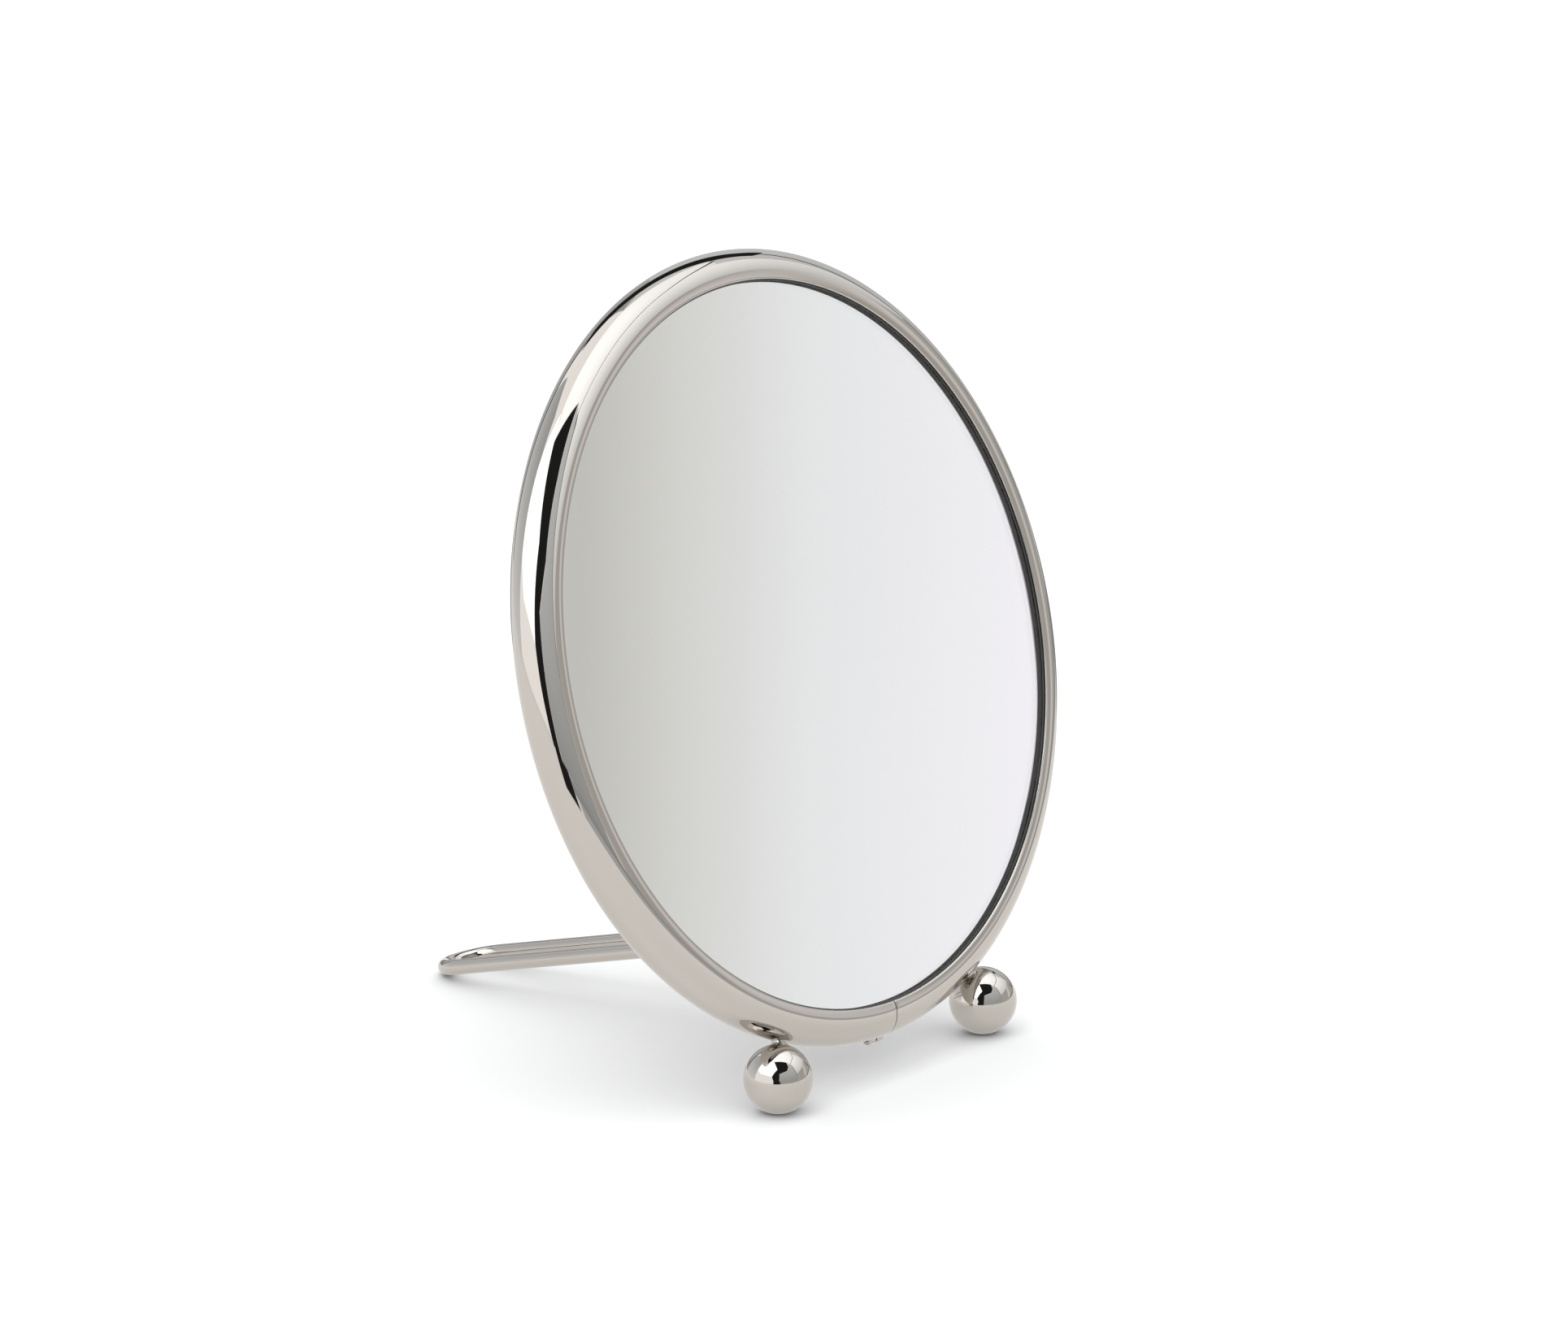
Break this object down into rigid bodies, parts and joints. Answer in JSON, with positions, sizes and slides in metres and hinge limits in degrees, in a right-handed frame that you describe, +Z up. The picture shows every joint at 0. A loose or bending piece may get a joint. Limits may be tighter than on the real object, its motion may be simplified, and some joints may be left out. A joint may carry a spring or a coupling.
{
  "type": "countertop mirror",
  "caption": "Round countertop mirror in a polished tube ring, leaning on two ball feet and a hinged U-shaped rod prop that folds down into a handle.",
  "frame": {"origin": "on the table, at the middle of the footprint between the fronts of the ball feet and the tip of the prop, with the prop open", "axes": "+X to the right seen from the front, +Y to the back, +Z up"},
  "size_m": [0.24, 0.1834, 0.2419],
  "materials": {
    "polished_nickel": "mirror-polished nickel plate, slightly warm",
    "nickel_hardware": "nickel plate, lightly polished, fine machining marks",
    "zinc_steel": "zinc-plated steel",
    "satin_nickel_plate": "satin nickel-plated sheet with a fine circular grain",
    "clear_glass": "polished clear float glass with a faint green edge",
    "silvering": "silvered coating seen through the glass",
    "felt": "thin charcoal felt",
    "black_rubber": "matt black rubber",
    "fibre": "dark fibre friction washer"
  },
  "bodies": {
    "mirror_head": {"back_plate": "satin_nickel_plate", "backing_pad": "felt", "ball_foot_left": "polished_nickel", "ball_foot_right": "polished_nickel", "bracket_rivets": "nickel_hardware", "clamp_lug_left": "polished_nickel", "clamp_lug_right": "polished_nickel", "clamp_screw": "nickel_hardware", "edge_gasket": "black_rubber", "foot_nuts": "zinc_steel", "foot_saddle_washers": "zinc_steel", "foot_studs": "zinc_steel", "frame_ring": "polished_nickel", "friction_washers": "fibre", "hinge_bracket": "nickel_hardware", "hinge_nut": "nickel_hardware", "hinge_screw": "nickel_hardware", "joint_spigot": "zinc_steel", "mirror_glass": "clear_glass", "retaining_ring": "black_rubber", "silver_layer": "silvering", "spring_washer": "zinc_steel", "stop_pin": "nickel_hardware"},
    "prop": {"prop_barrel": "polished_nickel", "prop_loop": "polished_nickel"}
  },
  "joints": [
    {"name": "prop_fold", "type": "hinge", "parent": "mirror_head", "child": "prop", "pos_m": [0, -0.06102, 0.04095], "axis": [1, 0, 0], "range_deg": [-91.6, 0]}
  ]
}
